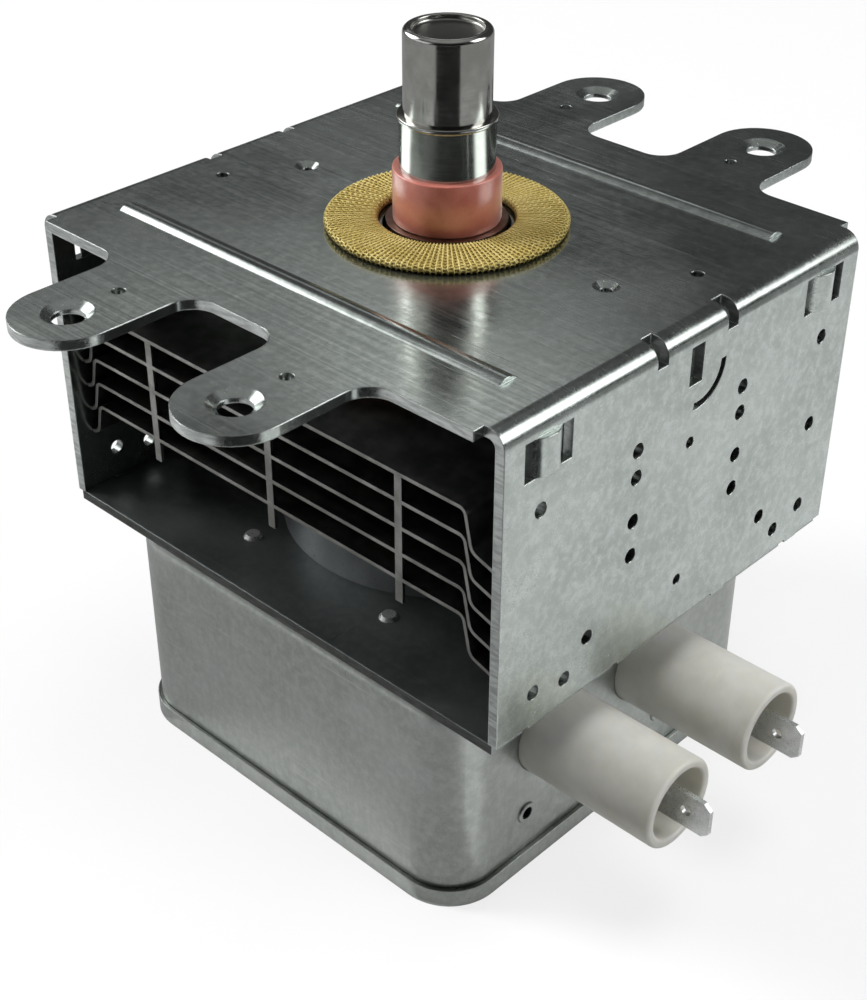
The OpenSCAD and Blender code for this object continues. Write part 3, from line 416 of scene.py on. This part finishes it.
def arc(x, y, r, start, end, n=5):
    """Points of a fillet, from one angle to another in degrees."""
    angles = [math.radians(start + (end - start) * i / n) for i in range(n + 1)]
    return [(x + r * math.cos(a), y + r * math.sin(a)) for a in angles]


def shell(shape, name, node, move):
    """A bmesh in millimetres as a smooth piece with crisp corners."""
    bmesh.ops.recalc_face_normals(shape, faces=shape.faces)
    for face in shape.faces:
        face.smooth = True
    for edge in shape.edges:
        edge.smooth = edge.calc_face_angle(0) < math.radians(35)
    shape.transform(Matrix.Scale(MM, 4) @ move)
    mesh = bpy.data.meshes.new(name)
    shape.to_mesh(mesh)
    shape.free()
    piece(name, mesh, node)


def turned(name, profile, node, at=(0, 0, 0), along_x=False, steps=96):
    """Body of revolution from a closed profile of (radius, height) in millimetres."""
    shape = bmesh.new()
    rings = []
    for r, h in profile:
        turns = [math.tau * i / steps for i in range(steps if r > 0 else 1)]
        rings.append([shape.verts.new((r * math.cos(t), r * math.sin(t), h)) for t in turns])
    pairs = list(zip(rings, rings[1:]))
    if len(rings[0]) > 1:
        pairs.append((rings[-1], rings[0]))
    for a, b in pairs:
        for i in range(steps):
            j = (i + 1) % steps
            corner = [a[i % len(a)], a[j % len(a)], b[j % len(b)], b[i % len(b)]]
            shape.faces.new(list(dict.fromkeys(corner)))
    turn = Matrix.Rotation(math.pi / 2, 4, "Y") if along_x else Matrix()
    shell(shape, name, node, Matrix.Translation(at) @ turn)


# Heights over the plate and radii of the antenna's parts and the tubes, mm
CAP_LOW, CAP_TOP, CAP_RADIUS, CAP_BORE = 17.4, 30.2, 6.6, 6.1
DISH_FLOOR, DISH_UNDER, DISH_RADIUS = 29.3, 28.8, 5.3
SLEEVE_RADIUS, SLEEVE_BORE, SLEEVE_MOUTH = 7.25, 6.65, 4
LIP_LOW, LIP_RADIUS, LIP_ROUND = 16.7, 7.55, 0.2
WINDOW_LOW, WINDOW_TOP, WINDOW_RADIUS, WINDOW_BORE = 0.9, 9.2, 8.25, 5.5
TUBE_START, TUBE_END, TUBE_RADIUS, TUBE_BORE = 36.35, 62.75, 7.5, 5.9
TUBE_Z = -67.7
TUBE_Y = {1: -16.2, 2: 7.2}

# Drawn cap with a rounded shoulder and a dish in its top
turned("cap_drawn",
       [(0, DISH_FLOOR)]
       + arc(DISH_RADIUS - 0.5, DISH_FLOOR + 0.5, 0.5, -90, 0)
       + arc(DISH_RADIUS + 0.2, CAP_TOP - 0.2, 0.2, 180, 90, 4)
       + arc(CAP_RADIUS - 0.8, CAP_TOP - 0.8, 0.8, 90, 0, 8)
       + [(CAP_RADIUS, CAP_LOW), (CAP_BORE, CAP_LOW), (CAP_BORE, DISH_UNDER), (0, DISH_UNDER)],
       "antenna_cap", (0, 0, LIFT))
# Sleeve with a rolled lip
turned("sleeve_drawn",
       [(SLEEVE_BORE, WINDOW_TOP), (SLEEVE_RADIUS, WINDOW_TOP)]
       + arc(SLEEVE_RADIUS + 0.15, LIP_LOW - 0.15, 0.15, 180, 90, 3)
       + arc(LIP_RADIUS - LIP_ROUND, LIP_LOW + LIP_ROUND, LIP_ROUND, -90, 0, 4)
       + arc(LIP_RADIUS - LIP_ROUND, CAP_LOW - LIP_ROUND, LIP_ROUND, 0, 90, 4)
       + [(SLEEVE_MOUTH, CAP_LOW), (SLEEVE_MOUTH, CAP_LOW - 0.6), (SLEEVE_BORE, CAP_LOW - 0.6)],
       "antenna_sleeve", (0, 0, LIFT))
# Fired ceramic with broken edges
turned("window_fired",
       [(WINDOW_BORE, WINDOW_LOW)]
       + arc(WINDOW_RADIUS - 0.3, WINDOW_LOW + 0.3, 0.3, -90, 0, 4)
       + arc(WINDOW_RADIUS - 0.3, WINDOW_TOP - 0.3, 0.3, 0, 90, 4)
       + [(WINDOW_BORE, WINDOW_TOP)],
       "output_ceramic", (0, 0, LIFT))
# Moulded tubes with rounded mouths
for number, y in TUBE_Y.items():
    turned("tube_%d_moulded" % number,
           [(TUBE_BORE, TUBE_START), (TUBE_RADIUS, TUBE_START)]
           + arc(TUBE_RADIUS - 0.6, TUBE_END - 0.6, 0.6, 0, 90)
           + arc(TUBE_BORE + 0.5, TUBE_END - 0.5, 0.5, 90, 180),
           "insulating_tube_%d" % number, (0, y, LIFT + TUBE_Z), True)


# Fins with their ends bent down and flared out to the walls

FIN_COUNT = 5
FIN_TOP = -16.4     # upper face of the first fin, mm
FIN_PITCH = 4.4
FIN_THICK = 0.6
FIN_DEEP = 74
FIN_FLAT = {1: 37.2, -1: 42}     # where the flat sheet ends on each side
FIN_DROP = {1: 4.4, -1: 3.4}     # straight run between the two bends
FIN_BEND = (1.2, -78)            # radius and degrees of the bend down
FIN_FLARE = (1.8, 60)            # and of the flare out to the wall
FIN_REACH = 45.78   # where the middle line ends at the wall
FIN_BORE = 20       # radius of the tube
FIN_COLLAR = 3      # height of the drawn collar
FIN_STEPS = 24      # faces along each side of the sheet
TAB_X = (-28.2, -1.2, 25.8)
TAB_WIDE = 1.4
TAB_LONG = 3.8


def fin_end(way):
    """Middle line of a fin's end, as (x, z, heading), from the flat sheet out to the wall."""
    x, z, heading = FIN_FLAT[way], 0.0, 0.0
    line = [(x, z, heading)]

    def go(length, turn):
        nonlocal x, z, heading
        x += length * math.cos(heading + turn / 2)
        z += length * math.sin(heading + turn / 2)
        heading += turn
        line.append((x, z, heading))

    def bend(radius, degrees, steps=6):
        for _ in range(steps):
            turn = math.radians(degrees) / steps
            go(2 * radius * math.sin(abs(turn) / 2), turn)

    bend(*FIN_BEND)
    go(FIN_DROP[way], 0)
    bend(*FIN_FLARE)
    go((FIN_REACH - x) / math.cos(heading), 0)
    return line


def pressed_fin(number):
    """One fin: sheet with a drawn collar round the tube, bent ends and spacer tabs."""
    shape = bmesh.new()
    half = FIN_THICK / 2
    depth = FIN_DEEP / 2
    bend_r = half + FIN_THICK
    low = half - FIN_COLLAR
    collar = (arc(FIN_BORE + bend_r, half - bend_r, bend_r, 90, 180, 6)
              + [(FIN_BORE, low), (FIN_BORE + FIN_THICK, low)]
              + arc(FIN_BORE + bend_r, half - bend_r, bend_r - FIN_THICK, 180, 90, 4))
    right, left = FIN_FLAT[1], -FIN_FLAT[-1]
    corners = [(right, -depth), (right, depth), (left, depth), (left, -depth)]
    rim = []
    for (x, y), (next_x, next_y) in zip(corners, corners[1:] + corners[:1]):
        for i in range(FIN_STEPS):
            rim.append((x + (next_x - x) * i / FIN_STEPS, y + (next_y - y) * i / FIN_STEPS))
    chains = []
    for x, y in rim:
        far = math.hypot(x, y)
        places = [(x, y, half)] + [(r * x / far, r * y / far, z) for r, z in collar] + [(x, y, -half)]
        chains.append([shape.verts.new(p) for p in places])

    def strip(a, b):
        for i in range(len(a) - 1):
            shape.faces.new((a[i], b[i], b[i + 1], a[i + 1]))

    for a, b in zip(chains, chains[1:] + chains[:1]):
        strip(a, b)
    for side in range(4):
        run = [chains[(side * FIN_STEPS + i) % len(chains)] for i in range(FIN_STEPS + 1)]
        if side % 2:
            strip([c[0] for c in run], [c[-1] for c in run])
            continue
        way = 1 if side == 0 else -1
        line = fin_end(way)[1:]
        loops = []
        for chain in run:
            y = chain[0].co.y
            over, under = [[shape.verts.new((way * (x - off * math.sin(h)), y, z + off * math.cos(h)))
                            for x, z, h in line] for off in (half, -half)]
            loops.append([chain[0]] + over + under[::-1] + [chain[-1]])
        for a, b in zip(loops, loops[1:]):
            strip(a, b)
        for loop in (loops[0], loops[-1]):
            count = len(loop) // 2
            strip(loop[:count], loop[:count - 1:-1])
    for x in TAB_X:
        for way in (-1, 1):
            tab = bmesh.ops.create_cube(shape, size=1)["verts"]
            bmesh.ops.scale(shape, verts=tab, vec=(TAB_WIDE, FIN_THICK, TAB_LONG))
            bmesh.ops.translate(shape, verts=tab, vec=(x, way * (depth - half), -half - TAB_LONG / 2))
    top = FIN_TOP - (number - 1) * FIN_PITCH
    shell(shape, "fin_%d_pressed" % number, "cooling_fin_%d" % number,
          Matrix.Translation((0, 0, LIFT + top - half)))


for number in range(1, FIN_COUNT + 1):
    pressed_fin(number)


# Knitted gasket

KNIT_LEAN = 0.17        # how far a loop leans over its neighbours, in loops
KNIT_REACH = 0.82       # how far it reaches into the next rows, in rows
KNIT_DEEP = 0.95        # depth of the wire's middle under the face, in wires
KNIT_WEAVE = 0.4        # rise and fall where wires cross, in wires


def knit_ring(name, node, inner, outer, high, rows, loops, wire):
    """Flat ring of knitted wire over a smaller core, in millimetres."""
    half = high / 2
    flat = outer - inner - high
    bend = math.pi * half
    total = 2 * (flat + bend)

    def section(s, deep):
        """Radius and height at a length along the section, some depth under its face."""
        s %= total
        if s < flat:
            return inner + half + s, high - deep
        if s < flat + bend:
            a = math.pi / 2 - (s - flat) / half
            return outer - half + (half - deep) * math.cos(a), half + (half - deep) * math.sin(a)
        if s < 2 * flat + bend:
            return outer - half - (s - flat - bend), deep
        a = -math.pi / 2 - (s - 2 * flat - bend) / half
        return inner + half + (half - deep) * math.cos(a), half + (half - deep) * math.sin(a)

    def point(turn, s, deep):
        r, z = section(s, deep)
        return Vector((r * math.cos(turn), r * math.sin(turn), z))

    verts, faces = [], []
    steps, sides = 8, 5
    row = total / rows
    for j in range(rows):
        count = loops * steps
        first = len(verts)

        def path(k):
            t = math.tau * k / steps
            turn = (k / steps + KNIT_LEAN * math.sin(2 * t)) / loops * math.tau
            along = (j + 0.5) * row + KNIT_REACH * row * math.cos(t)
            return turn, along, wire * (KNIT_DEEP + KNIT_WEAVE * math.cos(2 * t))

        for k in range(count):
            turn, s, deep = path(k)
            here = point(turn, s, deep)
            ahead = (point(*path(k + 0.1)) - point(*path(k - 0.1))).normalized()
            out = (point(turn, s, deep - 0.05) - point(turn, s, deep + 0.05)).normalized()
            across = ahead.cross(out).normalized()
            out = across.cross(ahead)
            for i in range(sides):
                a = math.tau * i / sides
                verts.append(here + (across * math.cos(a) + out * math.sin(a)) * wire / 2)
        for k in range(count):
            for i in range(sides):
                a, b = first + k * sides, first + (k + 1) % count * sides
                n = (i + 1) % sides
                faces.append((a + i, a + n, b + n, b + i))
    around, ring = 120, 40
    first = len(verts)
    for k in range(around):
        for i in range(ring):
            verts.append(point(math.tau * k / around, total * i / ring, 1.5 * wire))
    for k in range(around):
        for i in range(ring):
            a, b = first + k * ring, first + (k + 1) % around * ring
            n = (i + 1) % ring
            faces.append((a + i, b + i, b + n, a + n))
    mesh = bpy.data.meshes.new(name)
    mesh.from_pydata([(v + Vector((0, 0, LIFT))) * MM for v in verts], [], faces)
    shape = bmesh.new()
    shape.from_mesh(mesh)
    bmesh.ops.recalc_face_normals(shape, faces=shape.faces)
    shape.to_mesh(mesh)
    shape.free()
    mesh.shade_smooth()
    piece(name, mesh, node)


knit_ring("gasket_knit", "rf_gasket", inner=10.3, outer=18.75, high=1.6, rows=20, loops=68, wire=0.3)


# Floor, light and surroundings, in metres

FLOOR_HALF = 6.0
FLOOR_GAP = 0.00005     # under the part
CARD_GAP = 0.0004       # over the floor
TENT_RADIUS = 2.4
CARD_RADIUS = 2.35
AMBIENT = 0.14
AIM = (0, 0, -0.03)     # where the lamps point


def glow(name):
    material = bpy.data.materials.new(name)
    return material, Graph(material)


def stage_mesh(name, verts, faces, material, reflected=False):
    """Part of the set. A reflected one shows only in glossy surfaces."""
    mesh = bpy.data.meshes.new(name)
    mesh.from_pydata(verts, [], faces)
    mesh.materials.append(material)
    obj = bpy.data.objects.new(name, mesh)
    scene.collection.objects.link(obj)
    if reflected:
        obj.visible_camera = False
        obj.visible_diffuse = False
        obj.visible_shadow = False
        obj.visible_transmission = False
        obj.visible_volume_scatter = False


def white_share(graph, camera, glossy):
    """Share of plain white for rays that look at the background straight or in a reflection."""
    path = graph.new("LightPath")
    total = graph.math("MULTIPLY", path.outputs["Is Camera Ray"], camera)
    total = graph.math("MAXIMUM", total, graph.math("MULTIPLY", path.outputs["Is Glossy Ray"], glossy))
    return graph.math("MAXIMUM", total, graph.math("MULTIPLY", path.outputs["Is Transmission Ray"], camera))


def floor_material():
    material, graph = glow("pale_floor")
    matte = graph.new("BsdfDiffuse")
    path = graph.new("LightPath")
    tone = graph.span(path.outputs["Is Diffuse Ray"], 0, 1, 0.88, 0.28)
    color = graph.new("CombineColor")
    for socket in color.inputs[:3]:
        graph.link(tone, socket)
    graph.link(color.outputs[0], matte.inputs["Color"])
    white = graph.new("Emission")
    both = graph.new("MixShader")
    graph.link(white_share(graph, 0.78, 0.35), both.inputs[0])
    graph.link(matte.outputs[0], both.inputs[1])
    graph.link(white.outputs[0], both.inputs[2])
    graph.link(both.outputs[0], graph.new("OutputMaterial").inputs[0])
    return material


def card_material(name, value):
    material, graph = glow(name)
    shine = graph.new("Emission")
    shine.inputs["Color"].default_value = (value, value, value, 1)
    graph.link(shine.outputs[0], graph.new("OutputMaterial").inputs[0])
    return material


def tent_material():
    """Dim surroundings: black behind the camera, soft patches at the sides and opposite it, pale overhead."""
    material, graph = glow("tent_grey")
    unit = graph.new("VectorMath")
    unit.operation = "NORMALIZE"
    graph.link(graph.new("NewGeometry").outputs["Position"], unit.inputs[0])
    x, y, z = graph.split(unit.outputs[0])
    lift = graph.math("MULTIPLY", graph.math("ARCSINE", z), 180 / math.pi)
    flat = graph.math("SQRT", graph.math("SUBTRACT", 1.0, graph.math("MULTIPLY", z, z)))

    def towards(degrees, wide, narrow):
        """1 within narrow degrees of a direction seen from above, 0 beyond wide degrees."""
        c, s = math.cos(math.radians(degrees)), math.sin(math.radians(degrees))
        along = graph.math("ADD", graph.math("MULTIPLY", x, c), graph.math("MULTIPLY", y, s))
        along = graph.math("DIVIDE", along, flat)
        return graph.span(along, math.cos(math.radians(wide)), math.cos(math.radians(narrow)))

    def band(low, full, past, end):
        """1 between the elevations full and past."""
        return graph.math("MULTIPLY", graph.span(lift, low, full), graph.span(lift, past, end, 1, 0))

    black = graph.math("MULTIPLY", towards(FRONT, 50, 28), graph.span(lift, 28, 40, 1, 0))
    level = graph.span(black, 0, 1, 0.042, 0.012)
    # Direction, half widths, band of elevations and brightness of each patch
    patches = ((146, 17, 5, (25, 27, 28, 31), 0.68),
               (132, 9, 3, (28, 30.5, 35, 41), 0.8),
               (232, 42, 25, (3, 8, 26, 40), 0.7),
               (193, 24, 11, (10, 16, 42, 50), 4.5),
               (40, 22, 10, (10, 16, 42, 50), 4.0))
    for where, wide, narrow, rise, value in patches:
        glowing = graph.math("MULTIPLY", towards(where, wide, narrow), band(*rise))
        level = graph.math("ADD", level, graph.math("MULTIPLY", glowing, value))
    level = graph.math("ADD", level, graph.span(lift, 42, 62, 0, 0.25))
    shine = graph.new("Emission")
    graph.link(level, shine.inputs["Strength"])
    graph.link(shine.outputs[0], graph.new("OutputMaterial").inputs[0])
    return material


base = cad_low.z - FLOOR_GAP
floor_corners = [(x * FLOOR_HALF, y * FLOOR_HALF, base) for x, y in ((-1, -1), (1, -1), (1, 1), (-1, 1))]
stage_mesh("floor", floor_corners, [(0, 1, 2, 3)], floor_material())


def dome(radius, around=48, rings=12):
    """Half sphere over the floor."""
    verts, faces = [], []
    for j in range(rings + 1):
        lift = math.radians(1 + 89 * j / rings)
        for i in range(around):
            turn = math.tau * i / around
            flat = radius * math.cos(lift)
            verts.append((flat * math.cos(turn), flat * math.sin(turn), base + radius * math.sin(lift)))
    for j in range(rings):
        for i in range(around):
            k = (i + 1) % around
            faces.append((j * around + i, j * around + k, (j + 1) * around + k, (j + 1) * around + i))
    return verts, faces


def sector(inner, outer, start, end, steps=24):
    """Part of a flat ring just over the floor, between two directions in degrees."""
    verts = []
    for i in range(steps + 1):
        turn = math.radians(start + (end - start) * i / steps)
        verts += [(r * math.cos(turn), r * math.sin(turn), base + CARD_GAP) for r in (inner, outer)]
    return verts, [(2 * i, 2 * i + 1, 2 * i + 3, 2 * i + 2) for i in range(steps)]


stage_mesh("tent", *dome(TENT_RADIUS), tent_material(), True)
for name, tone, value, ring in (
        ("card_front", "card_black", 0.02, (0.14, CARD_RADIUS, FRONT - 30, FRONT + 30)),
        ("card_round", "card_grey", 0.3, (0.27, CARD_RADIUS, FRONT + 30, FRONT + 330, 60)),
        ("card_left", "card_mid", 0.5, (0.05, 0.14, 180, 325, 40)),
        ("card_right", "card_pale", 0.88, (0.1, 0.27, 0, 80, 30))):
    stage_mesh(name, *sector(*ring), card_material(tone, value), True)

world = bpy.data.worlds.new("studio")
scene.world = world
sky = Graph(world)
sky_glow = sky.new("Background")
sky.link(sky.span(white_share(sky, 1, 1), 0, 1, AMBIENT, 1), sky_glow.inputs["Strength"])
sky.link(sky_glow.outputs[0], sky.new("OutputWorld").inputs[0])


def soft_box(name, where, size, watts):
    """Area lamp that lights the part but isn't mirrored in it."""
    data = bpy.data.lights.new(name, "AREA")
    data.shape = "RECTANGLE"
    data.size, data.size_y = size
    data.energy = watts
    lamp = bpy.data.objects.new(name, data)
    lamp.visible_glossy = False
    scene.collection.objects.link(lamp)
    where = Vector(where)
    lamp.location = where
    lamp.rotation_mode = "QUATERNION"
    lamp.rotation_quaternion = (Vector(AIM) - where).to_track_quat("-Z", "Y")


soft_box("soft_right", (0.95, 0.4, 0.62), (0.6, 0.5), 5.5)
soft_box("soft_left", (-0.95, -0.58, 0.78), (0.35, 0.35), 18)
soft_box("soft_top", (0.15, 0.05, 1.3), (0.5, 0.5), 8)
